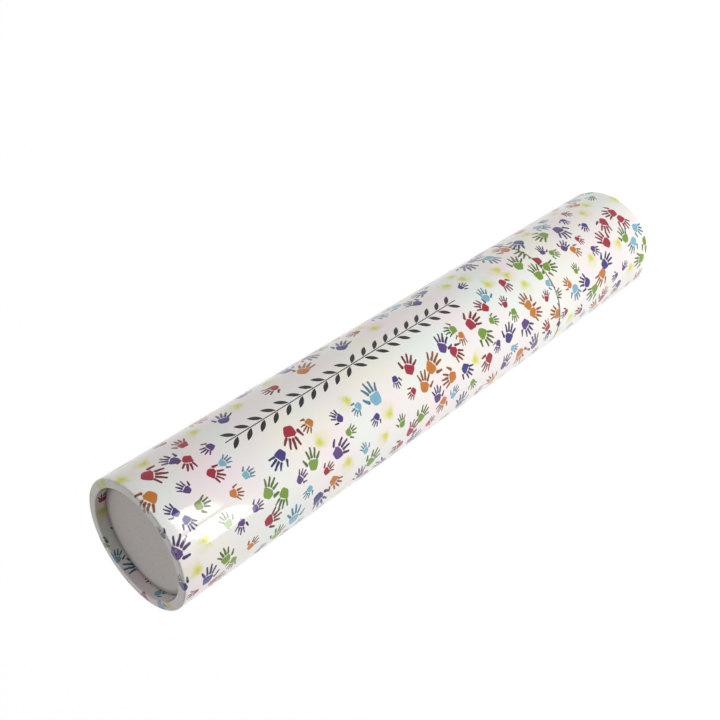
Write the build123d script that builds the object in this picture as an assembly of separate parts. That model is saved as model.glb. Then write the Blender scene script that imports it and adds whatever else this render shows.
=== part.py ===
"""Diploma tube: a wrapped paperboard tube with recessed end discs and a pull-off cap on an inner neck.

It stands on its cap, with the closed end of its body on top. The origin is the centre of the cap's rim,
and +Z runs along the tube's axis from the cap to the body's closed end.
"""

import math
import os

from build123d import *

# Whole tube, in millimetres
tube_length = 230.0
outer_diameter = 41.0
cap_length = 59.5

# Wound board of the body and the cap, cut from one tube
board_wall = 2.3
rim_outer_radius = 0.3
rim_inner_radius = 0.1

# Printed wrap: a sheet glued round each tube and turned in over its rim
wrap_thickness = 0.25
glue_line = 0.05
turn_in_depth = 11.0
joint_setback = 0.3
lap_width = 9.0

# Card discs set back in both ends
recess_depth = 3.4
disc_thickness = 1.6
disc_gap = 0.1
disc_edge_radius = 0.35

# Neck glued into the body's mouth, which the cap slides on
neck_wall = 1.4
neck_gap = 0.2
neck_reach = 40.0
neck_hold = 30.0
neck_lead = 0.6

# Overrun of the cutting shapes past what they cut
overrun = 1.0

outer_radius = outer_diameter / 2
board_outer = outer_radius - wrap_thickness - glue_line
board_inner = board_outer - board_wall
board_end = wrap_thickness + glue_line
lining_radius = board_inner - glue_line - wrap_thickness
body_length = tube_length - cap_length


def section(inner, outer, bottom, top):
    """A rectangle of the tube's half section, from radius inner to outer and height bottom to top."""
    return Pos((inner + outer) / 2, (bottom + top) / 2) * Rectangle(outer - inner, top - bottom)


def turned(profile, degrees=360.0):
    """The solid that a half section makes when it is turned about the tube's axis."""
    return revolve(Plane.XZ * profile, axis=Axis.Z, revolution_arc=degrees)


def lower_corners(profile):
    """The two corners at the foot of a section."""
    return profile.vertices().sort_by(Axis.Y)[:2]


def board_section(length):
    """Half section of a board tube, with its rim at the foot and its cut end at the given length."""
    plain = section(board_inner, board_outer, board_end, length)
    outer_corner = lower_corners(plain).sort_by(Axis.X)[-1]
    rounded = fillet(outer_corner, rim_outer_radius)
    inner_corner = lower_corners(rounded).sort_by(Axis.X)[0]
    return fillet(inner_corner, rim_inner_radius)


def board_tube(length):
    """A board tube whose rim is rounded, more on the outside, so that the wrap turns over it."""
    return turned(board_section(length))


def wrap_section(length):
    """Half section of a wrap: down the outside, round the rim and back up the inside."""
    board = board_section(length)
    sheet = offset(board, glue_line + wrap_thickness) - offset(board, glue_line)
    inside_is_bare = section(
        lining_radius - overrun, board_inner, turn_in_depth, length + overrun
    )
    joint_is_bare = section(
        lining_radius - overrun, outer_radius + overrun, length - joint_setback, length + overrun
    )
    return sheet - inside_is_bare - joint_is_bare


def lap(length):
    """The strip where the sheet's end is glued down over its start, along the back of the tube."""
    straight_from = board_end + rim_outer_radius
    strip = section(outer_radius, outer_radius + wrap_thickness, straight_from, length - joint_setback)
    lap_angle = math.degrees(lap_width / outer_radius)
    back_angle = 90.0
    return Rot(0, 0, back_angle - lap_angle / 2) * turned(strip, lap_angle)


def wrap(length):
    """A printed sheet round a board tube, turned in over its rim and lapped along the back."""
    return turned(wrap_section(length)) + lap(length)


def end_disc():
    """A card disc at its depth inside the rim, its outer edge a little rounded."""
    radius = lining_radius - disc_gap
    card = section(0, radius, recess_depth, recess_depth + disc_thickness)
    face_edge = lower_corners(card).sort_by(Axis.X)[-1]
    return turned(fillet(face_edge, disc_edge_radius))


def neck_tube():
    """The inner tube: its lower part stands out of the body into the cap, with a tapered lip to lead it in."""
    outer = board_inner - neck_gap
    plain = section(outer - neck_wall, outer, cap_length - neck_reach, cap_length + neck_hold)
    lip_corner = lower_corners(plain).sort_by(Axis.X)[-1]
    return turned(chamfer(lip_corner, neck_lead))


def as_body(piece):
    """A piece made with its rim at the foot, turned over so that its rim is the body's closed end on top."""
    return Pos(0, 0, tube_length) * Rot(0, 180, 0) * piece


pieces = {
    "cap_tube": board_tube(cap_length),
    "cap_wrap": wrap(cap_length),
    "cap_disc": end_disc(),
    "body_tube": as_body(board_tube(body_length)),
    "body_wrap": as_body(wrap(body_length)),
    "base_disc": as_body(end_disc()),
    "neck_tube": neck_tube(),
}

os.makedirs("parts", exist_ok=True)
for name, piece in pieces.items():
    export_step(piece, f"parts/{name}.step")
    print(name, "volume", round(piece.volume, 1), "mm3")
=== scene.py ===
# %% [markdown]
# # A diploma tube, dressed in its printed paper
# The tube stands on its cap, and its construction is fixed: board tubes, a neck and two discs, all at their
# real size. This lesson adds what the eye sees first, the glossy printed sheet that is glued round the body
# and round the cap, and a finish for every piece of bare board and card. Everything is in metres, in the same
# frame as the construction, so nothing has to be fitted afterwards.

import math

import bmesh
import bpy
import numpy as np
from mathutils import Matrix, Vector


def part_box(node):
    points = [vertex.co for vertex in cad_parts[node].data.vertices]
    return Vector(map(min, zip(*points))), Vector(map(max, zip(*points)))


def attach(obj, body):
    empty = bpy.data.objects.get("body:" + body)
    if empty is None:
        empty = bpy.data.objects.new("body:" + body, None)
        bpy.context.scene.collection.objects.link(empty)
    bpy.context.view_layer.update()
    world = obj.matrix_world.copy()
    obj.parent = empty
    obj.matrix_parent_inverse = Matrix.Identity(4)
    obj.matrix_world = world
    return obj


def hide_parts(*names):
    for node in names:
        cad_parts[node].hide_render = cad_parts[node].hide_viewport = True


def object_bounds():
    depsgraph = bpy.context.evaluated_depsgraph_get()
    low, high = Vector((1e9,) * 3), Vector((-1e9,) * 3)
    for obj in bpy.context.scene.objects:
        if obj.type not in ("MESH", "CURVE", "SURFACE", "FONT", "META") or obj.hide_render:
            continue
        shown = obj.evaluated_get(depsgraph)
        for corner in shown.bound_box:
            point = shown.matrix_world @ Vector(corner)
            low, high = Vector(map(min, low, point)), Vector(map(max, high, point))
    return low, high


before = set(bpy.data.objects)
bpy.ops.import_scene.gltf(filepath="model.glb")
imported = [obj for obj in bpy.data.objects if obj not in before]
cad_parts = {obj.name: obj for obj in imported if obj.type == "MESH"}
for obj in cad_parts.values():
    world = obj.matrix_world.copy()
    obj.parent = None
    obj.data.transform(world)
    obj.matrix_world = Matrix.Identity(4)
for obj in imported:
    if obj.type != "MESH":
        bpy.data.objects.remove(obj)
cad_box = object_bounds()
millimetre = 0.001
full_turn = 2 * math.pi
quarter_turn = full_turn / 4
print("nodes:", sorted(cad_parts))
print("box of the construction:", [list(corner) for corner in cad_box])

# %% [markdown]
# ## Reading sizes off the construction
# The paper has to follow the board exactly, so its sizes are read from the construction's own wraps instead
# of being typed again. The widest x gives the outside, the smallest radius gives the paper that is turned in,
# the flat ring at the rim tells how round its two folds are, and whatever stands proud of the outside is the
# lap where the end of the sheet is glued down over its start.

# %% Measure the two wraps
hair = 0.01 * millimetre


def points_of(node):
    """The corners of a construction node's mesh, one row each."""
    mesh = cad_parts[node].data
    numbers = np.empty(len(mesh.vertices) * 3)
    mesh.vertices.foreach_get("co", numbers)
    return numbers.reshape(-1, 3)


def wrap_sizes(node, rim_height, way_in):
    """What the sheet has to follow. way_in is +1 for a tube above its rim, and -1 for one below it."""
    points = points_of(node)
    radius = np.hypot(points[:, 0], points[:, 1])
    from_rim = way_in * (points[:, 2] - rim_height)
    outside = np.abs(points[:, 0]).max()
    lining = radius.min()
    rim_ring = radius[from_rim < hair]
    lap = points[radius > outside + hair]
    lap_angles = np.arctan2(lap[:, 1], lap[:, 0])
    return {
        "rim_height": rim_height,
        "way_in": way_in,
        "outside": outside,
        "lining": lining,
        "length": from_rim.max(),
        "outer_fold": outside - rim_ring.max(),
        "inner_fold": rim_ring.min() - lining,
        "turn_in": from_rim[radius < lining + hair].max(),
        "paper": radius.max() - outside,
        "lap_from": lap_angles.min(),
        "lap_to": lap_angles.max(),
    }


tube_top = cad_box[1].z
body_sizes = wrap_sizes("body_wrap", tube_top, -1)
cap_sizes = wrap_sizes("cap_wrap", 0.0, 1)
for label, sizes in (("body", body_sizes), ("cap", cap_sizes)):
    print(label, {key: round(float(value), 5) for key, value in sizes.items()})

# %% [markdown]
# ## Node trees written as sums
# Both the geometry and the finishes are node trees. Wiring nodes one by one is hard to read, so a wire gets
# the ordinary operators: adding two wires adds a Math node, and the line of Python still reads like the
# formula. Every other kind of node comes from one method, which takes the node's type, its settings and what
# goes into its sockets.

# %% Wires and trees
class Wire:
    """One output of a node. Its operators add Math nodes, so that formulas read as formulas."""

    def __init__(self, nodes, socket):
        self.nodes = nodes
        self.socket = socket

    def other(self, name):
        """Another output of the same node."""
        return Wire(self.nodes, self.socket.node.outputs[name])

    def __add__(self, value):
        return self.nodes.math("ADD", self, value)

    def __sub__(self, value):
        return self.nodes.math("SUBTRACT", self, value)

    def __rsub__(self, value):
        return self.nodes.math("SUBTRACT", value, self)

    def __mul__(self, value):
        return self.nodes.math("MULTIPLY", self, value)

    def __truediv__(self, value):
        return self.nodes.math("DIVIDE", self, value)

    def __rtruediv__(self, value):
        return self.nodes.math("DIVIDE", value, self)

    def __pow__(self, value):
        return self.nodes.math("POWER", self, value)

    def __lt__(self, value):
        return self.nodes.math("LESS_THAN", self, value)

    def __gt__(self, value):
        return self.nodes.math("GREATER_THAN", self, value)

    def __abs__(self):
        return self.nodes.math("ABSOLUTE", self)

    __radd__ = __add__
    __rmul__ = __mul__


class Nodes:
    """A node tree, shader or geometry, with short ways to add what this lesson uses."""

    def __init__(self, tree):
        self.tree = tree

    def node(self, kind, settings=None, sockets=None, out=0):
        """Adds a node, sets it up, feeds its sockets and returns one of its outputs."""
        made = self.tree.nodes.new(kind)
        for name, value in (settings or {}).items():
            if name == "stops":
                set_stops(made.color_ramp, value)
            else:
                setattr(made, name, value)
        for name, value in (sockets or {}).items():
            if isinstance(value, Wire):
                self.tree.links.new(value.socket, made.inputs[name])
            else:
                made.inputs[name].default_value = value
        return Wire(self, made.outputs[out]) if len(made.outputs) else made

    def math(self, operation, *values):
        """A sum of numbers."""
        return self.node("ShaderNodeMath", {"operation": operation}, dict(enumerate(values)))

    def sine(self, angle):
        return self.math("SINE", angle)

    def cosine(self, angle):
        return self.math("COSINE", angle)

    def vector(self, operation, *values, out="Vector"):
        """A sum of vectors, which gives a vector or, with Value, a number."""
        return self.node("ShaderNodeVectorMath", {"operation": operation}, dict(enumerate(values)), out)

    def scaled(self, vector, factor):
        """A vector times a number."""
        return self.node("ShaderNodeVectorMath", {"operation": "SCALE"}, {0: vector, "Scale": factor})

    def parts(self, vector):
        """The three numbers in a vector."""
        x = self.node("ShaderNodeSeparateXYZ", {}, {0: vector})
        return x, x.other("Y"), x.other("Z")

    def joined(self, x=0.0, y=0.0, z=0.0):
        """A vector made of three numbers."""
        return self.node("ShaderNodeCombineXYZ", {}, {0: x, 1: y, 2: z})

    def turned(self, vector, angle):
        """A vector turned about Z."""
        settings = {"rotation_type": "Z_AXIS"}
        return self.node("ShaderNodeVectorRotate", settings, {"Vector": vector, "Angle": angle})

    def limited(self, value, low=0.0, high=1.0):
        """A number kept between two others."""
        return self.node("ShaderNodeClamp", {}, {"Value": value, "Min": low, "Max": high})

    def rise(self, value, low, high):
        """0 below low and 1 above high, with an eased slope between."""
        settings = {"interpolation_type": "SMOOTHSTEP"}
        return self.node(
            "ShaderNodeMapRange", settings, {"Value": value, "From Min": low, "From Max": high}
        )

    def mix(self, factor, first, second, blend="MIX"):
        """Two colours mixed. The colour sockets of a Mix node are its seventh and eighth."""
        settings = {"data_type": "RGBA", "blend_type": blend}
        return self.node("ShaderNodeMix", settings, {0: factor, 6: first, 7: second}, 2)

    def noise(self, place, scale, detail=2.0, roughness=0.5, out="Fac"):
        """Soft chance from 0 to 1, or three of them as a Color. scale is how many waves go into a unit."""
        sockets = {"Vector": place, "Scale": scale, "Detail": detail, "Roughness": roughness}
        return self.node("ShaderNodeTexNoise", {}, sockets, out)


def set_stops(ramp, stops):
    """Gives a ramp its stops: pairs of a place and a colour, in hard steps."""
    ramp.interpolation = "CONSTANT"
    while len(ramp.elements) < len(stops):
        ramp.elements.new(1.0)
    for element, (place, colour) in zip(ramp.elements, stops):
        element.position = place
        element.color = colour


def seen(red, green, blue):
    """A colour as a screen shows it, 0 to 255, in the linear numbers that shaders use."""
    shares = (red / 255, green / 255, blue / 255)
    return (*((s / 12.92 if s <= 0.04045 else ((s + 0.055) / 1.055) ** 2.4) for s in shares), 1.0)


middle_grey = seen(128, 128, 128)
print("the middle grey of a screen, for a shader:", [round(v, 3) for v in middle_grey])

# %% [markdown]
# ## The wrapped sheet
# The wrap is one sheet of paper: it starts under its own lap, goes once round the tube, climbs over its start
# and ends in a cut edge. At the closed end it is folded over the rim and glued down inside. It could be drawn
# as a turned section, but then the lap and the flat print would be lost. A Geometry Nodes tree bends a flat
# grid instead. One direction of the grid runs round the tube and the other along the sheet's path, so the
# same two numbers that place a point are also its place on the flat sheet, ready for the print.

# %% Grow the tree that bends a sheet
print_map = "flat_sheet"
ring_columns = 288
straight_rows = 56
rim_rows = 24
inside_rows = 8
weld_distance = 0.001 * millimetre
all_rows = straight_rows + rim_rows + inside_rows


def bent_sheet_tree():
    """The tree, with an input for each size of a wrap."""
    group = bpy.data.node_groups.new("bent_sheet", "GeometryNodeTree")
    for label in (
        "Outside", "Lining", "Length", "Outer fold", "Inner fold", "Turn-in", "Rim height", "Way in",
        "Free edge", "Lap width", "Lap climb", "Lap height", "Unevenness", "Uneven size", "Seed",
    ):
        group.interface.new_socket(label, in_out="INPUT", socket_type="NodeSocketFloat")
    group.interface.new_socket("Finish", in_out="INPUT", socket_type="NodeSocketMaterial")
    group.interface.new_socket("Sheet", in_out="OUTPUT", socket_type="NodeSocketGeometry")
    nodes = Nodes(group)
    outside = nodes.node("NodeGroupInput")
    size = outside.other

    flat = nodes.node(
        "GeometryNodeMeshGrid", {}, {"Vertices X": ring_columns + 1, "Vertices Y": all_rows + 1}
    )
    around, along, _ = nodes.parts(flat.other("UV Map"))

    # How far the point has gone down the outside, over the rim and up the inside
    row = along * all_rows
    outer_fold, inner_fold = size("Outer fold"), size("Inner fold")
    outer_length, inner_length = outer_fold * quarter_turn, inner_fold * quarter_turn
    straight_length = size("Length") - outer_fold
    flat_length = outside - size("Lining") - outer_fold - inner_fold
    rim_length = outer_length + flat_length + inner_length
    inside_length = size("Turn-in") - inner_fold
    straight = nodes.limited(row / straight_rows) * straight_length
    rim = nodes.limited((row - straight_rows) / rim_rows) * rim_length
    inside = nodes.limited((row - (straight_rows + rim_rows)) / inside_rows) * inside_length
    first_turn = nodes.limited(rim / outer_length) * quarter_turn
    flat_run = nodes.limited((rim - outer_length) / flat_length) * flat_length
    second_turn = nodes.limited((rim - outer_length - flat_length) / inner_length) * quarter_turn
    sine, cosine = nodes.sine, nodes.cosine
    radius = outside - outer_fold * (1 - cosine(first_turn)) - flat_run - inner_fold * sine(second_turn)
    going_down = straight_length - straight + outer_fold * (1 - sine(first_turn))
    coming_up = inner_fold * (1 - cosine(second_turn)) + inside
    from_rim = going_down + coming_up

    # The lap stands one paper high over the sheet's start, and dies out before the rim
    to_free_edge = (1 - around) * outside * full_turn
    lap_width, climb = size("Lap width"), size("Lap climb")
    on_lap = 1 - nodes.rise(to_free_edge, lap_width, lap_width + climb)
    off_rim = 1 - nodes.rise(straight, straight_length - climb, straight_length)
    radius = radius + on_lap * off_rim * size("Lap height")

    # The board under the paper is never quite true, so the outside dips a little here and there
    way_in = size("Way in")
    angle = size("Free edge") + way_in * around * full_turn
    height = size("Rim height") + way_in * from_rim
    place = nodes.joined(cosine(angle) * outside, sine(angle) * outside, height + size("Seed"))
    dips = nodes.noise(place, 1 / size("Uneven size"), detail=1.0)
    radius = radius - dips * size("Unevenness") * off_rim

    bent = nodes.joined(cosine(angle) * radius, sine(angle) * radius, height)
    mesh = nodes.node("GeometryNodeSetPosition", {}, {"Geometry": flat, "Position": bent})
    path_share = (straight + rim + inside) / (straight_length + rim_length + inside_length)
    mesh = nodes.node(
        "GeometryNodeStoreNamedAttribute",
        {"data_type": "FLOAT2", "domain": "CORNER"},
        {"Geometry": mesh, "Name": print_map, "Value": nodes.joined(around, path_share)},
    )
    mesh = nodes.node("GeometryNodeMergeByDistance", {}, {"Geometry": mesh, "Distance": weld_distance})
    mesh = nodes.node("GeometryNodeFlipFaces", {}, {"Mesh": mesh})
    mesh = nodes.node("GeometryNodeRealizeInstances", {}, {"Geometry": mesh})
    mesh = nodes.node("GeometryNodeSetMaterial", {}, {"Geometry": mesh, "Material": size("Finish")})
    nodes.node("NodeGroupOutput", {}, {0: mesh})
    return group


bent_sheet = bent_sheet_tree()
print("the tree that bends a sheet has", len(bent_sheet.nodes), "nodes")

# %% [markdown]
# ## What is printed on it
# The sheet is pearl paper under a gloss film, printed all over with small handprints in bright colours. The
# print could be an image, but a formula stays sharp at any size: a Voronoi texture scatters one spot to a
# cell and also gives the room that each spot has, so no hand grows past what its neighbours allow. A hand is
# five fingers, which are tapered strokes, and a palm, which is a rounded square with a bite for the thumb.
# Lemon hands have soft edges, as if dabbed on, and in the other inks the fingers are darker than the palms.

# %% Sizes of the print, in millimetres on the flat sheet
hand_spacing = 7.3
hand_scatter = 0.45
rows_turn = math.radians(27)
large_hand = 4.5
small_hand = 2.7
lemon_hand = 3.0
small_hand_share = 0.34
hand_spread_share = 0.16
room_share = 1.3
wobble_size = 1.5
wobble = 0.42
crisp_edge_share = 0.05
soft_edge_share = 0.8
lemon_finger_share = 0.35

# Each finger: its root, its tip, and its half width at both
finger_shares = (
    ((-0.62, -0.36), (-0.88, -0.02), 0.130, 0.080),
    ((-0.33, 0.10), (-0.52, 0.56), 0.112, 0.082),
    ((-0.09, 0.16), (-0.13, 0.82), 0.116, 0.080),
    ((0.16, 0.14), (0.26, 0.74), 0.112, 0.078),
    ((0.38, 0.04), (0.64, 0.44), 0.104, 0.074),
)
palm_centre_share = (0.0, -0.42)
palm_half_share = (0.42, 0.39)
palm_squareness = 4.4
wrist_taper = 0.28
thumb_web_share = (-0.53, -0.02)
thumb_web_radius_share = 0.2

# Each ink, and the number from which a hand is printed in it
inks = (
    (0.00, seen(164, 20, 50)),
    (0.19, seen(88, 54, 124)),
    (0.31, seen(60, 46, 126)),
    (0.41, seen(198, 116, 28)),
    (0.54, seen(114, 150, 38)),
    (0.67, seen(122, 178, 200)),
    (0.81, seen(214, 212, 42)),
)

# A ramp is kept in this many steps, so its last ink really starts on a whole one
ramp_steps = 256
lemon_from = math.ceil(inks[-1][0] * ramp_steps) / ramp_steps
finger_shade = 0.62
finger_core_share = 0.04

print("inks on the sheet:", len(inks))

# %% [markdown]
# ## One hand
# A shape that is printed by a formula is best given as a distance: below 0 inside, 0 at the edge and above 0
# outside, so that the same numbers give a crisp edge or a soft one. A finger is the distance to a line that
# is thinner at its tip. The palm could be a circle, but painted palms are blunt, so a power above 2 makes it
# squarer.

# %% Distances to the fingers and the palm
def hand(nodes, place):
    """Distances from a point to the fingers and to the palm of a hand whose half size is 1."""
    fingers = None
    for (ax, ay), (bx, by), root, tip in finger_shares:
        stroke = Vector((bx - ax, by - ay, 0.0))
        from_root = nodes.vector("SUBTRACT", place, (ax, ay, 0.0))
        along = nodes.limited(
            nodes.vector("DOT_PRODUCT", from_root, stroke / stroke.length_squared, out="Value")
        )
        beside = nodes.vector("SUBTRACT", from_root, nodes.scaled(tuple(stroke), along))
        distance = nodes.vector("LENGTH", beside, out="Value") - (along * (tip - root) + root)
        fingers = distance if fingers is None else nodes.math("MINIMUM", fingers, distance)
    x, y, _ = nodes.parts(nodes.vector("SUBTRACT", place, (*palm_centre_share, 0.0)))
    half_width, half_height = palm_half_share
    across = abs(x / (half_width + y * wrist_taper)) ** palm_squareness
    upright = abs(y / half_height) ** palm_squareness
    palm = ((across + upright) ** (1 / palm_squareness) - 1) * min(palm_half_share)
    from_web = nodes.vector("DISTANCE", place, (*thumb_web_share, 0.0), out="Value")
    palm = nodes.math("MAXIMUM", palm, thumb_web_radius_share - from_web)
    return fingers, palm


print("strokes in a hand:", len(finger_shares))

# %% [markdown]
# ## A spray of leaves
# One band along the body is free of hands, and carries a plain ornament in black: a stem with leaves in
# pairs. Folding the sheet at the stem and again at the middle of the spray leaves one leaf to draw, and
# taking the remainder along the stem repeats it.

# %% Sizes of the spray, in millimetres
spray_half_length = 50.0
spray_clear_width = 7.6
spray_clear_end = 3.0
leaf_pitch = 5.0
leaf_half_length = 2.3
leaf_half_width = 0.72
leaf_lift = 1.75
leaf_lean = math.radians(38)
stem_half_width = 0.17


def leaf_spray(nodes, along, across):
    """1 where the spray is printed. along and across are measured from its middle."""
    out, side = abs(along), abs(across)
    in_length = out < spray_half_length
    stem = (side < stem_half_width) * in_length
    step = nodes.math("MODULO", out, leaf_pitch) - leaf_pitch / 2
    lift = side - leaf_lift
    down_leaf = step * math.cos(leaf_lean) + lift * math.sin(leaf_lean)
    over_leaf = lift * math.cos(leaf_lean) - step * math.sin(leaf_lean)
    slimness = 1 - (down_leaf / leaf_half_length) ** 2.0
    leaf = (slimness * leaf_half_width - abs(over_leaf) > 0) * in_length
    return nodes.math("MAXIMUM", stem, leaf)


leaves_to_a_pitch = 4
print("leaves in the spray:", leaves_to_a_pitch * int(spray_half_length / leaf_pitch))

# %% [markdown]
# ## Starting and ending a finish
# Every finish here is a small tree that ends in one Principled shader. A pattern could be laid on by a map,
# but bare board and card have none, so they read where each point lies on the piece itself. Relief that is
# too fine to model goes through a Bump node, with its height in metres.

# %% Helpers for finishes
def new_material(name):
    """An empty material and its tree."""
    material = bpy.data.materials.new(name)
    material.use_nodes = True
    material.node_tree.nodes.clear()
    return material, Nodes(material.node_tree)


def place_on_piece(nodes):
    """Where a point lies, in metres, in the frame that all pieces share."""
    return nodes.node("ShaderNodeTexCoord", {}, {}, "Object")


def from_axis(nodes, place):
    """How far a point lies from the tube's axis."""
    x, y, _ = nodes.parts(place)
    return nodes.vector("LENGTH", nodes.joined(x, y), out="Value")


def bumped(nodes, height):
    """The surface's normal under a fine relief, whose height is in metres."""
    return nodes.node("ShaderNodeBump", {}, {"Height": height, "Distance": 1.0})


def finish_with(nodes, sockets):
    """Ends a material in a Principled shader with these sockets."""
    shader = nodes.node("ShaderNodeBsdfPrincipled", {}, sockets)
    nodes.node("ShaderNodeOutputMaterial", {}, {"Surface": shader})


finish_helpers = (new_material, place_on_piece, from_axis, bumped, finish_with)
print("helpers for finishes:", [helper.__name__ for helper in finish_helpers])

# %% [markdown]
# ## Hands on the sheet
# Each spot of the Voronoi texture carries three numbers drawn by chance. They give its hand an ink, a turn, a
# size and a side, left or right. Printing only the nearest spot's hand would cut fingers off at the edge of
# its cell, so the hands of the two nearest spots are printed at every point.

# %% Print the hand of a spot
seed_step = (3.7, 5.3)
draws_in_blue = 2.0
spread_draw = 7.0
mirrored_from = 0.5
finger_dark = seen(28, 22, 38)


def seed_shift(seed):
    """How far a seed moves the pattern of spots, in cells."""
    return (seed * seed_step[0], seed * seed_step[1], 0.0)


def clear_of(nodes, seed, spray_place):
    """A test for spots: 1 for those that keep clear of the spray's band, or None where there is no spray."""
    if not spray_place:
        return None

    def test(spot):
        spot = nodes.scaled(nodes.vector("SUBTRACT", spot, seed_shift(seed)), hand_spacing)
        x, y, _ = nodes.parts(nodes.turned(spot, -rows_turn))
        beside = abs(x - spray_place[0]) > spray_clear_width
        beyond = abs(y - spray_place[1]) > spray_half_length + spray_clear_end
        return nodes.math("MAXIMUM", beside, beyond)

    return test


def spots(nodes, place, feature, out):
    """The Voronoi texture that scatters the spots."""
    settings = {"voronoi_dimensions": "2D", "feature": feature}
    sockets = {"Vector": place, "Scale": 1.0, "Randomness": hand_scatter}
    return nodes.node("ShaderNodeTexVoronoi", settings, sockets, out)


def hand_print(nodes, colour, cells, nearest, dabs, clear):
    """Prints the hand of the nearest spot (F1), or of the next one (F2), over a colour."""
    spot = spots(nodes, cells, nearest, "Position")
    room = spots(nodes, spot, "N_SPHERE_RADIUS", "Radius")
    red = nodes.node("ShaderNodeSeparateColor", {}, {0: spot.other("Color")})
    ink_number = red.other("Green")
    blue = red.other("Blue")

    # The hand's own place: turned, mirrored by chance, and as large as its room allows
    here = nodes.turned(nodes.vector("SUBTRACT", cells, spot), red * full_turn)
    lemon = ink_number > lemon_from
    small = nodes.math("FRACT", blue * draws_in_blue) < small_hand_share
    half_size = small * (small_hand - large_hand) + large_hand
    half_size = lemon * (lemon_hand - half_size) + half_size
    spread = nodes.math("FRACT", red * spread_draw) * hand_spread_share + (1 - hand_spread_share / 2)
    half_size = nodes.math("MINIMUM", half_size * spread / hand_spacing, room * room_share)
    here = nodes.scaled(here, 1 / half_size)
    mirror = (blue > mirrored_from) * 2.0 - 1
    here = nodes.vector("MULTIPLY", here, nodes.joined(mirror, 1.0, 0.0))

    # Where the ink lies: crisp at its edges, and soft in lemon
    fingers, palm = hand(nodes, here)
    edge = lemon * (soft_edge_share - crisp_edge_share) + crisp_edge_share
    edge_from, edge_to = edge * -0.5, edge * 0.5
    finger_ink = (1 - nodes.rise(fingers, edge_from, edge_to)) * (1 - lemon * (1 - lemon_finger_share))
    palm_ink = 1 - nodes.rise(palm, edge_from, edge_to)
    if clear:
        free = clear(spot)
        finger_ink = finger_ink * free
        palm_ink = palm_ink * free

    # What colour it has: uneven as dabbed paint, and deeper along the middle of the fingers
    ink = nodes.node("ShaderNodeValToRGB", {"stops": inks}, {0: ink_number})
    uneven = nodes.node("ShaderNodeCombineColor", {}, {0: dabs, 1: dabs, 2: dabs})
    ink = nodes.mix(1.0, ink, uneven, "MULTIPLY")
    deep = nodes.rise(0 - fingers, 0.0, finger_core_share) * (1 - lemon) * finger_shade
    colour = nodes.mix(finger_ink, colour, nodes.mix(deep, ink, finger_dark))
    return nodes.mix(palm_ink, colour, ink)


print("half size of a hand on the sheet, in millimetres:", small_hand, "to", large_hand)

# %% [markdown]
# ## The printed paper
# The finish reads the sheet's own flat map, so the hands run over the rim and down inside as real print does.
# Pearl paper isn't white: its pearly sheen is painted into the paper's colour as wide soft patches that lean
# to pink, cream and green. A film lies over everything, so the gloss is the same on ink and paper, apart from
# the folds, where the film is worn. The film is the shader's coat, which keeps its sharp glints apart from
# the duller paper below.

# %% The printed paper's finish
pearl = seen(242, 235, 232)
# Pale tints of painted sheen, laid over the paper's colour in wide soft patches
painted_sheen_tints = (seen(246, 229, 234), seen(244, 239, 227), seen(235, 240, 234))
sheen_patch_size = 26.0
sheen_patch_range = (0.45, 0.7)
sheen_seed_step = 11.0
sheen_tints_apart = 57.0
dab_density = 0.9
dab_depth = 0.24
dab_level = 0.86
spray_black = seen(30, 28, 30)
film_coat = 0.6
film_coat_roughness = 0.05
film_roughness = 0.24
paper_gloss = 0.12
wear_density = 0.55
wear_range = (0.52, 0.66)
worn_share = 0.45
worn_white = seen(232, 229, 225)
worn_roughness = 0.5
peel_size = 1.6 * millimetre
peel_depth = 0.0009 * millimetre
ripple_size = 11.0 * millimetre
ripple_depth = 0.05 * millimetre


def sheet_lengths(sizes):
    """The sheet's straight part, its way over the rim and its whole length, in millimetres."""
    folds = sizes["outer_fold"] + sizes["inner_fold"]
    straight = (sizes["length"] - sizes["outer_fold"]) / millimetre
    rim = (sizes["outside"] - sizes["lining"] - folds + folds * quarter_turn) / millimetre
    return straight, rim, straight + rim + (sizes["turn_in"] - sizes["inner_fold"]) / millimetre


def pearl_paper_and_painted_sheen(nodes, sheet, seed):
    """Pearl paper, with wide soft patches of painted sheen in pale tints."""
    colour = pearl
    # Each tint is painted sheen, laid on in a wide soft patch
    for number, sheen_tint in enumerate(painted_sheen_tints):
        drift = nodes.vector("ADD", sheet, (seed * sheen_seed_step, number * sheen_tints_apart, 0.0))
        sheen_patch = nodes.rise(nodes.noise(drift, 1 / sheen_patch_size, detail=1.0), *sheen_patch_range)
        colour = nodes.mix(sheen_patch, colour, sheen_tint)
    return colour


def spot_cells(nodes, sheet, seed):
    """The sheet measured in cells of the spots, and shaken a little, so that painted edges are uneven."""
    shake = nodes.noise(sheet, 1 / wobble_size, detail=1.0, out="Color")
    shake = nodes.scaled(nodes.vector("SUBTRACT", shake, (0.5, 0.5, 0.5)), wobble)
    cells = nodes.scaled(nodes.vector("ADD", sheet, shake), 1 / hand_spacing)
    cells = nodes.vector("ADD", nodes.turned(cells, rows_turn), seed_shift(seed))
    return nodes.vector("MULTIPLY", cells, (1.0, 1.0, 0.0))


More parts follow.
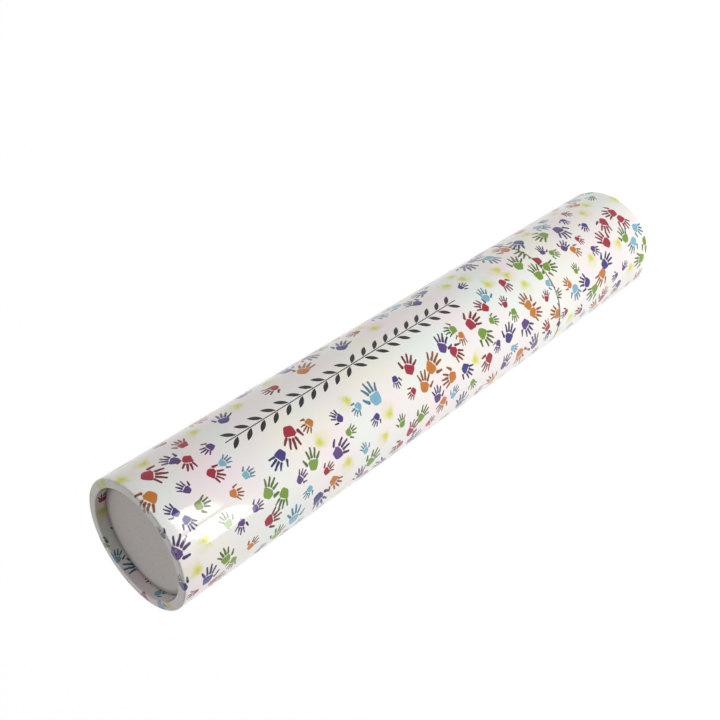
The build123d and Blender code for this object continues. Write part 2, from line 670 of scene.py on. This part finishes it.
def printed_paper(name, sizes, seed, spray_place=None):
    """The printed sheet's finish. spray_place is the middle of the spray, in millimetres on the sheet."""
    material, nodes = new_material(name)
    straight, rim, length = sheet_lengths(sizes)
    width = full_turn * sizes["outside"] / millimetre
    fold = sizes["outer_fold"] / millimetre
    flat = nodes.node("ShaderNodeUVMap", {"uv_map": print_map})
    sheet = nodes.vector("MULTIPLY", flat, (width, length, 1.0))
    sheet_x, sheet_y, _ = nodes.parts(sheet)

    # Paper with its painted pearly sheen, then the hands of the two nearest spots, then the spray
    colour = pearl_paper_and_painted_sheen(nodes, sheet, seed)
    cells = spot_cells(nodes, sheet, seed)
    dabs = nodes.noise(sheet, dab_density, detail=3.0) * dab_depth + dab_level
    for nearest in ("F2", "F1"):
        colour = hand_print(nodes, colour, cells, nearest, dabs, clear_of(nodes, seed, spray_place))
    if spray_place:
        spray_ink = leaf_spray(nodes, sheet_y - spray_place[1], sheet_x - spray_place[0])
        colour = nodes.mix(spray_ink, colour, spray_black)

    # The film is worn where the sheet is folded over the rim
    past_rim = nodes.rise(sheet_y, straight + rim, straight + rim + fold)
    at_rim = nodes.rise(sheet_y, straight - fold, straight) * (1 - past_rim)
    wear = nodes.noise(sheet, wear_density, detail=5.0, roughness=0.7)
    worn = nodes.rise(wear, *wear_range) * at_rim
    colour = nodes.mix(worn * worn_share, colour, worn_white)

    # The film's own fine peel, over slow ripples of the glued paper
    place = place_on_piece(nodes)
    ripple = nodes.noise(place, 1 / ripple_size, detail=1.0) * ripple_depth
    peel = nodes.noise(place, 1 / peel_size, detail=2.0) * peel_depth
    finish_with(nodes, {
        "Base Color": colour,
        "Roughness": worn * (worn_roughness - film_roughness) + film_roughness,
        "Coat Weight": film_coat,
        "Coat Roughness": film_coat_roughness,
        "Specular IOR Level": paper_gloss,
        "Normal": bumped(nodes, ripple + peel),
    })
    return material


print("a cap's sheet is", round(sheet_lengths(cap_sizes)[-1], 1), "mm long")

# %% Print both sheets
spray_angle = math.radians(-60.5)
spray_height = 150 * millimetre
body_print_seed = 8.0
cap_print_seed = 10.0


def place_on_body_sheet(angle, height):
    """Where an angle round the tube and a height lie on the body's flat sheet, in millimetres."""
    turned = (body_sizes["lap_from"] - angle) % full_turn
    joint_height = body_sizes["rim_height"] - body_sizes["length"]
    return (turned * body_sizes["outside"] / millimetre, (height - joint_height) / millimetre)


spray_middle = place_on_body_sheet(spray_angle, spray_height)
body_print = printed_paper("body_print", body_sizes, body_print_seed, spray_middle)
cap_print = printed_paper("cap_print", cap_sizes, cap_print_seed)
print("middle of the spray on the sheet, in millimetres:", [round(v, 1) for v in spray_middle])

# %% [markdown]
# ## The paper's cut edge
# Where the sheet ends, at the joint and along the lap, its white core shows, a hair's breadth of fibre. The
# print could run on over it, but paper is printed on its face alone, so the core has a finish of its own.

# %% The paper's white core
core_grey = seen(206, 200, 194)
core_white = seen(238, 236, 232)
core_fibre_density = 2600.0
core_fibre_relief = 0.02 * millimetre
core_roughness = 0.85


def paper_core():
    """The finish of cut paper."""
    material, nodes = new_material("paper_core")
    fibre = nodes.noise(place_on_piece(nodes), core_fibre_density, detail=3.0)
    finish_with(nodes, {
        "Base Color": nodes.mix(fibre, core_grey, core_white),
        "Roughness": core_roughness,
        "Normal": bumped(nodes, fibre * core_fibre_relief),
    })
    return material


core = paper_core()
print("made", core.name)

# %% [markdown]
# ## Bending the two sheets
# The tree gives a sheet without thickness. A Solidify modifier pushes it inwards by the paper's own thickness
# and closes its edges, with the white core on them. The result is then turned into a plain mesh. Both faces
# of the paper now share one flat map, so a second map keeps them apart. It is called OFBake, and it gives
# nearly all of its room to the printed face.

# %% Bend the sheets round the tubes
lap_climb = 1.6 * millimetre
unevenness = 0.03 * millimetre
uneven_size = 16.0 * millimetre
body_uneven_seed = 0.31
cap_uneven_seed = 0.87
fold_sharpness = math.radians(50)
printed_face_share = 0.93
baking_gap_share = 0.02
core_slot = 1


def add_baking_map(mesh):
    """A map without overlaps: the printed face first, and the paper's other faces in a strip above it."""
    places = np.empty(len(mesh.loops) * 2, dtype=np.float32)
    mesh.uv_layers[print_map].data.foreach_get("uv", places)
    materials = np.empty(len(mesh.polygons), dtype=np.int32)
    mesh.polygons.foreach_get("material_index", materials)
    corner_counts = np.empty(len(mesh.polygons), dtype=np.int32)
    mesh.polygons.foreach_get("loop_total", corner_counts)
    printed = np.repeat(materials, corner_counts) != core_slot
    upward = places[1::2]
    strip = baking_gap_share + printed_face_share
    places[1::2] = np.where(printed, upward * printed_face_share, strip + upward * (1 - strip))
    mesh.uv_layers.new(name="OFBake").data.foreach_set("uv", places)


def bend_flat_sheet(maker, sizes, finish, seed):
    """Gives an object the tree that bends a sheet, with the sizes of one wrap."""
    bend = maker.modifiers.new("bend", "NODES")
    bend.node_group = bent_sheet
    values = {
        "Outside": sizes["outside"],
        "Lining": sizes["lining"],
        "Length": sizes["length"],
        "Outer fold": sizes["outer_fold"],
        "Inner fold": sizes["inner_fold"],
        "Turn-in": sizes["turn_in"],
        "Rim height": sizes["rim_height"],
        "Way in": sizes["way_in"],
        "Free edge": sizes["lap_to"] if sizes["way_in"] > 0 else sizes["lap_from"],
        "Lap width": (sizes["lap_to"] - sizes["lap_from"]) * sizes["outside"],
        "Lap climb": lap_climb,
        "Lap height": sizes["paper"],
        "Unevenness": unevenness,
        "Uneven size": uneven_size,
        "Seed": seed,
    }
    for item in bent_sheet.interface.items_tree:
        if item.in_out == "INPUT":
            bend[item.identifier] = finish if item.name == "Finish" else float(values[item.name])


def thicken_sheet(maker, thickness):
    """Gives the bent sheet its thickness, inwards, with the white core on its edges and its back."""
    thicken = maker.modifiers.new("paper", "SOLIDIFY")
    thicken.thickness = thickness
    thicken.offset = -1.0
    thicken.use_even_offset = True
    thicken.material_offset = core_slot
    thicken.material_offset_rim = core_slot


def bent_sheet_piece(name, body, node, sizes, finish, seed):
    """The wrap of one tube as a plain mesh that stands for the construction's own."""
    maker = bpy.data.objects.new(name + "_maker", bpy.data.meshes.new(name + "_maker"))
    bpy.context.scene.collection.objects.link(maker)
    maker.data.materials.append(finish)
    maker.data.materials.append(core)
    bend_flat_sheet(maker, sizes, finish, seed)
    thicken_sheet(maker, sizes["paper"])
    evaluated = maker.evaluated_get(bpy.context.evaluated_depsgraph_get())
    mesh = bpy.data.meshes.new_from_object(evaluated)
    bpy.data.objects.remove(maker)
    mesh.name = name
    if len(mesh.materials) <= core_slot:
        mesh.materials.append(core)
    add_baking_map(mesh)
    mesh.shade_smooth()
    mesh.set_sharp_from_angle(angle=fold_sharpness)
    piece = bpy.data.objects.new(name, mesh)
    bpy.context.scene.collection.objects.link(piece)
    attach(piece, body)
    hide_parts(node)
    return piece


def closed_volume(piece):
    """The signed volume of a piece in cubic millimetres, and how many of its edges lie open."""
    work = bmesh.new()
    work.from_mesh(piece.data)
    volume = work.calc_volume(signed=True) / millimetre**3
    open_edges = sum(not edge.is_manifold for edge in work.edges)
    work.free()
    return round(volume, 1), open_edges


body_paper = bent_sheet_piece("body_paper", "body", "body_wrap", body_sizes, body_print, body_uneven_seed)
cap_paper = bent_sheet_piece("cap_paper", "cap", "cap_wrap", cap_sizes, cap_print, cap_uneven_seed)
for piece in (body_paper, cap_paper):
    print(piece.name, len(piece.data.polygons), "faces, volume and open edges:", closed_volume(piece))

# %% [markdown]
# ## Bare board
# The tubes under the paper are wound from strips of grey board, laid at a slant and glued. Inside, the
# slanted joint between two turns shows as a fine line, and on the cut ends the plies show as rings. Lines
# this fine could be cut into the mesh, but a formula of height, angle and radius draws them without a face.

# %% The wound board's finish
board_strip_width = 62 * millimetre
board_seam_width_share = 0.012
board_ply = 0.33 * millimetre
ply_line_from = 0.8
board_fibre_stretch = (1.0, 1.0, 0.35)
board_fibre_density = 900.0
board_fleck_density = 1500.0
board_fleck_range = (0.66, 0.74)
board_dark = seen(150, 141, 128)
board_light = seen(192, 184, 171)
ply_dark = seen(120, 110, 98)
board_fleck_dark = seen(96, 88, 78)
board_seam_dark = seen(104, 96, 86)
ply_line_share = 0.3
board_fleck_share = 0.5
board_seam_share = 0.6
board_fibre_relief = 0.03 * millimetre
board_seam_depth = 0.1 * millimetre
board_roughness = 0.82
board_roughness_spread = 0.1


def wound_seam(nodes, place, strip_width, way, width_share):
    """1 on the slanted joint between two turns of a strip. way is +1 or -1, as the strip is wound."""
    x, y, z = nodes.parts(place)
    angle_share = nodes.math("ARCTAN2", y, x) / full_turn
    along_strip = nodes.math("FRACT", z / strip_width + angle_share * way)
    return 1 - nodes.rise(abs(along_strip - 0.5), 0.0, width_share)


def wound_board():
    """The finish of bare grey board."""
    material, nodes = new_material("wound_board")
    place = place_on_piece(nodes)
    seam = wound_seam(nodes, place, board_strip_width, 1, board_seam_width_share)
    rings = nodes.math("FRACT", from_axis(nodes, place) / board_ply)
    stretched = nodes.vector("MULTIPLY", place, board_fibre_stretch)
    fibre = nodes.noise(stretched, board_fibre_density, detail=4.0, roughness=0.6)
    flecks = nodes.rise(nodes.noise(place, board_fleck_density, detail=1.0), *board_fleck_range)
    colour = nodes.mix(fibre, board_dark, board_light)
    colour = nodes.mix(nodes.rise(rings, ply_line_from, 1.0) * ply_line_share, colour, ply_dark)
    colour = nodes.mix(flecks * board_fleck_share, colour, board_fleck_dark)
    colour = nodes.mix(seam * board_seam_share, colour, board_seam_dark)
    finish_with(nodes, {
        "Base Color": colour,
        "Roughness": fibre * board_roughness_spread + board_roughness,
        "Normal": bumped(nodes, fibre * board_fibre_relief - seam * board_seam_depth),
    })
    return material


def dress(finish, *node_names):
    """Gives nodes of the construction their finish."""
    for name in node_names:
        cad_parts[name].data.materials[0] = finish
    print(finish.name, "is on", " and ".join(node_names))


dress(wound_board(), "body_tube", "cap_tube")

# %% [markdown]
# ## The neck
# The neck is wound too, but of white paper, which shows when the tube is opened. The cap has rubbed it, so
# fine streaks run along it. Streaks need no drawing one by one: a noise that is stretched along the axis has
# them.

# %% The neck's finish
neck_strip_width = 48 * millimetre
neck_seam_width_share = 0.009
neck_fibre_density = 1300.0
streak_density = 1100.0
streak_stretch = (1.0, 1.0, 0.03)
rubbed_range = (0.52, 0.72)
neck_pale = seen(224, 221, 214)
neck_white = seen(240, 238, 233)
rubbed_grey = seen(196, 192, 186)
neck_seam_grey = seen(170, 165, 157)
rubbed_share = 0.35
neck_seam_share = 0.5
neck_fibre_relief = 0.012 * millimetre
neck_seam_depth = 0.08 * millimetre
neck_roughness = 0.62
rubbed_smoothing = 0.14


def neck_paper():
    """The finish of the neck's white paper."""
    material, nodes = new_material("neck_paper")
    place = place_on_piece(nodes)
    seam = wound_seam(nodes, place, neck_strip_width, -1, neck_seam_width_share)
    fibre = nodes.noise(place, neck_fibre_density, detail=4.0, roughness=0.6)
    stretched = nodes.vector("MULTIPLY", place, streak_stretch)
    rubbed = nodes.rise(nodes.noise(stretched, streak_density, detail=2.0), *rubbed_range)
    colour = nodes.mix(fibre, neck_pale, neck_white)
    colour = nodes.mix(rubbed * rubbed_share, colour, rubbed_grey)
    colour = nodes.mix(seam * neck_seam_share, colour, neck_seam_grey)
    finish_with(nodes, {
        "Base Color": colour,
        "Roughness": neck_roughness - rubbed * rubbed_smoothing,
        "Normal": bumped(nodes, fibre * neck_fibre_relief - seam * neck_seam_depth),
    })
    return material


dress(neck_paper(), "neck_tube")

# %% [markdown]
# ## The end discs
# Both ends are closed by a disc of white card, cut with a punch and a little set back. Card is matt, with a
# faint cloudiness and short fibres. Towards its rim the card is painted darker: painted shade for the corner
# where the disc meets the wall of the recess. Three sizes of noise give the clouds, the fibres and the
# flecks, and the distance from the axis finds where the painted shade lies.

# %% The card's finish
cloud_density = 160.0
card_fibre_density = 1700.0
card_fleck_density = 1200.0
card_fleck_range = (0.7, 0.76)
# Painted shade: the outer ring of the disc is darkened for the corner where it meets the wall of the recess
painted_shade_width = 2.4 * millimetre
card_shade = seen(232, 224, 218)
card_white = seen(250, 244, 238)
card_cloud = seen(241, 233, 227)
card_fleck_grey = seen(186, 176, 168)
# The grey of the painted shade at the disc's rim
painted_shade_grey = seen(120, 112, 107)
cloud_share = 0.5
card_fleck_share = 0.3
painted_shade_share = 0.72
card_fibre_relief = 0.015 * millimetre
cloud_relief = 0.05 * millimetre
card_roughness = 0.68
card_roughness_spread = 0.12


def end_card():
    """The finish of a disc of white card, cut with a punch, with painted shade at its rim."""
    material, nodes = new_material("end_card")
    place = place_on_piece(nodes)
    disc_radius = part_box("base_disc")[1].x
    cloud = nodes.noise(place, cloud_density, detail=2.0)
    fibre = nodes.noise(place, card_fibre_density, detail=4.0, roughness=0.65)
    flecks = nodes.rise(nodes.noise(place, card_fleck_density, detail=0.0), *card_fleck_range)
    # Painted shade, darkest at the disc's rim, where the wall of the recess meets it
    painted_shade = nodes.rise(from_axis(nodes, place), disc_radius - painted_shade_width, disc_radius)
    colour = nodes.mix(fibre, card_shade, card_white)
    colour = nodes.mix(cloud * cloud_share, colour, card_cloud)
    colour = nodes.mix(flecks * card_fleck_share, colour, card_fleck_grey)
    colour = nodes.mix(painted_shade * painted_shade_share, colour, painted_shade_grey)
    finish_with(nodes, {
        "Base Color": colour,
        "Roughness": fibre * card_roughness_spread + card_roughness,
        "Normal": bumped(nodes, fibre * card_fibre_relief + cloud * cloud_relief),
    })
    return material


dress(end_card(), "base_disc", "cap_disc")

# %% [markdown]
# ## Floor
# The floor is a wide pale disc. Rays from the camera, and those that the gloss mirrors, find it almost white,
# and it still takes the tube's soft shadow. More lamps could whiten it, but they would wash out the print, so
# it glows a little instead. To all other rays it is dimmer, and brightest on the camera's side, as a table by
# a window is, so that the closed end on top stays in shade.

# %% The floor
floor_radius = 6.0
floor_sides = 96
floor_drop = 0.05 * millimetre
floor_grey = (0.8, 0.8, 0.8, 1.0)
floor_glow = 0.72
floor_bounce = 0.41
front_bounces = (
    (Vector((0.0, -1.0, 0.0)), 0.47),
    (Vector((-1.0, -1.0, 0.0)).normalized(), 0.44),
)
bounce_focus = 2.0
bounce_fade = (0.3, 1.5)


def shown_rays(nodes):
    """1 for the rays that show the background: from the camera, through glass and off gloss."""
    ray = nodes.node("ShaderNodeLightPath", {}, {}, "Is Camera Ray")
    shown = nodes.math("MAXIMUM", ray, ray.other("Is Transmission Ray"))
    return nodes.math("MAXIMUM", shown, ray.other("Is Glossy Ray"))


def lobe(nodes, way, towards, focus):
    """1 in one direction, falling to 0 at right angles to it."""
    return nodes.limited(nodes.vector("DOT_PRODUCT", way, tuple(towards), out="Value")) ** focus


def floor_white():
    """The floor's finish."""
    material, nodes = new_material("floor_white")
    shown = shown_rays(nodes)
    place = place_on_piece(nodes)
    way = nodes.vector("NORMALIZE", place)
    near = 1 - nodes.rise(nodes.vector("LENGTH", place, out="Value"), *bounce_fade)
    bounce = floor_bounce
    for front, level in front_bounces:
        bounce = lobe(nodes, way, front, bounce_focus) * near * level + bounce
    glow = shown * floor_glow + (1 - shown) * bounce
    matt = nodes.node("ShaderNodeBsdfDiffuse", {}, {"Color": floor_grey})
    lift = nodes.node("ShaderNodeEmission", {}, {"Strength": glow})
    surface = nodes.node("ShaderNodeAddShader", {}, {0: matt, 1: lift})
    nodes.node("ShaderNodeOutputMaterial", {}, {"Surface": surface})
    return material


def pale_floor():
    """The floor, a hair below the tube's foot."""
    work = bmesh.new()
    bmesh.ops.create_circle(work, cap_ends=True, segments=floor_sides, radius=floor_radius)
    mesh = bpy.data.meshes.new("floor")
    work.to_mesh(mesh)
    work.free()
    mesh.transform(Matrix.Translation((0.0, 0.0, -floor_drop)))
    mesh.materials.append(floor_white())
    floor = bpy.data.objects.new("floor", mesh)
    bpy.context.scene.collection.objects.link(floor)
    return floor


print("floor with", len(pale_floor().data.vertices), "sides,", 2 * floor_radius, "m wide")

# %% [markdown]
# ## Light
# The room is soft, brighter behind the tube and overhead on the right, so that the wall of the recess shades
# from one side to the other. Two low softboxes stand to the left of the camera, a main one and a weaker one.
# They are low because their glints have to lie near the tube's upper end, and a tube that is seen from above
# mirrors what lies low. Both are wide and flat and lean a little to one side, so that their glints lie along
# the paper as slanted wedges.

# %% The room
room_horizon = 0.105
room_zenith = 0.44
overhead_way = Vector((0.8, 0.15, 1.0)).normalized()
overhead_focus = 1.0
room_back = 0.35
back_way = Vector((0.0, 1.0, 0.15)).normalized()
back_focus = 2.0
pure_white = (1.0, 1.0, 1.0, 1.0)


def soft_room():
    """The world: white to the rays that show it, and a soft light to all others."""
    world = bpy.data.worlds.new("room")
    bpy.context.scene.world = world
    world.use_nodes = True
    world.node_tree.nodes.clear()
    nodes = Nodes(world.node_tree)
    way = nodes.node("ShaderNodeTexCoord", {}, {}, "Generated")
    overhead = lobe(nodes, way, overhead_way, overhead_focus)
    strength = overhead * (room_zenith - room_horizon) + room_horizon
    strength = lobe(nodes, way, back_way, back_focus) * room_back + strength
    lit = nodes.node("ShaderNodeBackground", {}, {"Color": pure_white, "Strength": strength})
    white = nodes.node("ShaderNodeBackground", {}, {"Color": pure_white, "Strength": 1.0})
    surface = nodes.node("ShaderNodeMixShader", {}, {0: shown_rays(nodes), 1: lit, 2: white})
    nodes.node("ShaderNodeOutputWorld", {}, {"Surface": surface})
    return world


print("light comes from", soft_room().name)

# %% The softboxes
glint_height = Vector((0.0, 0.0, 0.21))
softboxes = {
    "main_softbox": {
        "place": Vector((-0.235, -0.262, 0.049)),
        "size": (0.186, 0.034),
        "lean": math.radians(5),
        "power": 0.33,
    },
    "weak_softbox": {
        "place": Vector((-0.047, -0.361, 0.059)),
        "size": (0.19, 0.027),
        "lean": math.radians(6),
        "power": 0.15,
    },
}


def softbox(name, place, size, lean, power):
    """A lamp of this width and height, turned to the tube's upper end. The camera doesn't see the lamp."""
    lamp = bpy.data.lights.new(name, "AREA")
    lamp.shape = "RECTANGLE"
    lamp.size, lamp.size_y = size
    lamp.energy = power
    box = bpy.data.objects.new(name, lamp)
    bpy.context.scene.collection.objects.link(box)
    facing = (glint_height - place).to_track_quat("-Z", "Y").to_matrix().to_4x4()
    box.matrix_world = Matrix.Translation(place) @ facing @ Matrix.Rotation(lean, 4, "Z")
    box.visible_camera = False


for name, values in softboxes.items():
    softbox(name, **values)
    print(name, round((glint_height - values["place"]).length, 3), "m from the tube")

# %% [markdown]
# ## Camera
# The photograph looks along the tube from its closed end. The tube stands here, so the camera looks down on
# that end and is rolled over on its side until the tube lies across the picture as it did.

# %% The camera
camera_place = Vector((0.0, -277.2, 341.95)) * millimetre
camera_heading = math.radians(2.176)
camera_pitch = math.radians(37.034)
camera_roll = math.radians(121.895)
camera_lens = 53.83
camera_sensor = 36.0
camera_nearest = 0.01


def photo_camera():
    """The camera, first pitched up from looking straight down, then turned to its heading, and rolled."""
    lens = bpy.data.cameras.new("photo_camera")
    lens.lens = camera_lens
    lens.sensor_width = camera_sensor
    lens.clip_start = camera_nearest
    camera = bpy.data.objects.new("photo_camera", lens)
    bpy.context.scene.collection.objects.link(camera)
    pitch = Matrix.Rotation(quarter_turn - camera_pitch, 4, "X")
    heading = Matrix.Rotation(-camera_heading, 4, "Z")
    roll = Matrix.Rotation(-camera_roll, 4, "Z")
    camera.matrix_world = Matrix.Translation(camera_place) @ heading @ pitch @ roll
    bpy.context.scene.camera = camera
    return camera


camera = photo_camera()
bpy.context.scene.view_settings.view_transform = "Standard"
print("camera looks along", [round(v, 4) for v in camera.matrix_world.to_3x3() @ Vector((0, 0, -1))])
